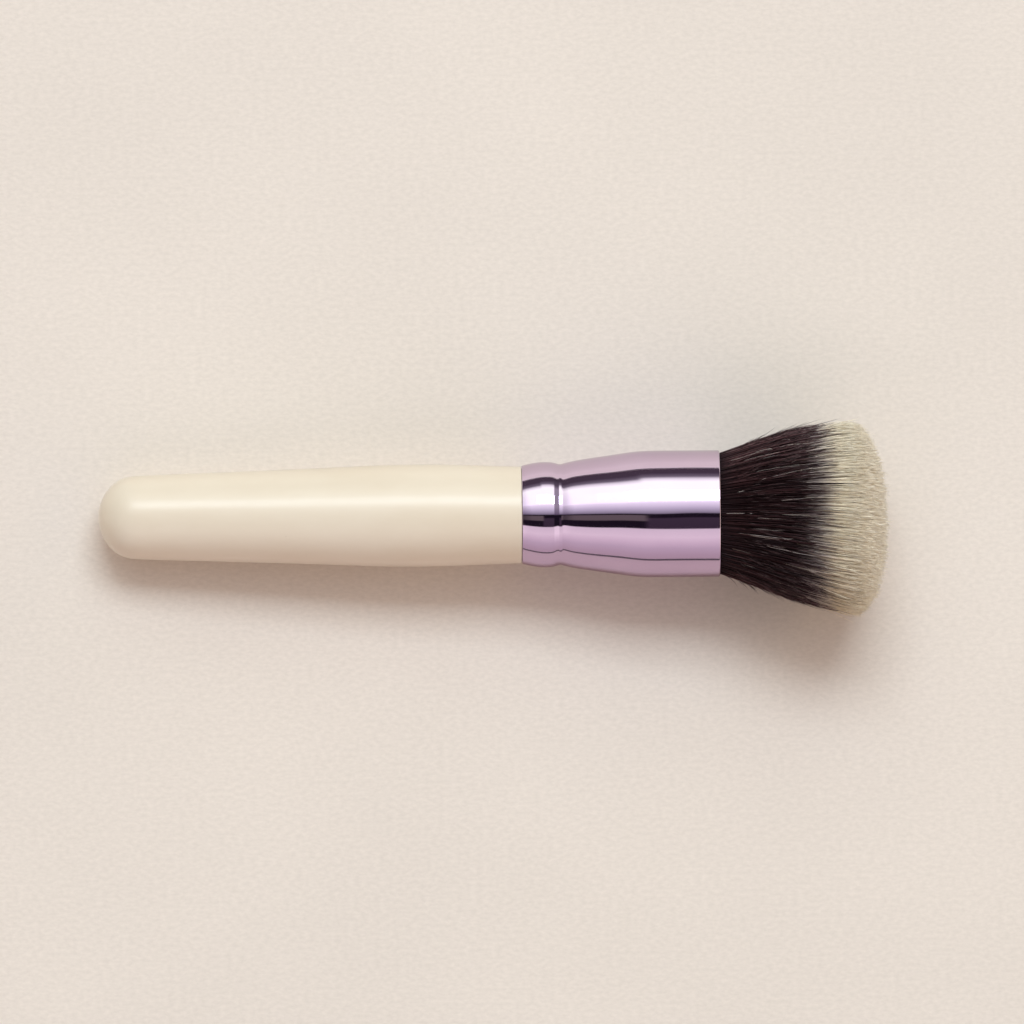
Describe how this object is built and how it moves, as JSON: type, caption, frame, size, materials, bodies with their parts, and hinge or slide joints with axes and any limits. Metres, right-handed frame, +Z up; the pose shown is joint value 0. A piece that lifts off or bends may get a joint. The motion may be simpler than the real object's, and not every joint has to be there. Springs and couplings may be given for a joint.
{
  "type": "powder brush",
  "caption": "Short-handled powder brush with a turned lacquered handle, a flared metal ferrule and a wide domed head of dark fibres with cream tips.",
  "frame": {"origin": "on the surface that the brush lies on, under the middle of its bounding box", "axes": "+X runs from the butt of the handle towards the fibre tips, as seen from above; +Z is up from the surface that the brush lies on; +Y is across the brush. The brush's own axis rises towards the tips, because it rests on its butt and on the widest of its fibres."},
  "size_m": [0.1554, 0.0382, 0.038],
  "materials": {
    "handle_lacquer": "turned wood under a cream pearl gloss lacquer",
    "ferrule_metal": "polished, lilac anodised",
    "resin": "cast amber epoxy",
    "dark_fibre": "soft brown-black fibres",
    "light_fibre": "soft cream fibres"
  },
  "bodies": {
    "root": {"handle": "handle_lacquer", "ferrule": "ferrule_metal", "resin_plug": "resin", "dark_fibres": "dark_fibre", "light_fibres": "light_fibre"}
  },
  "joints": []
}
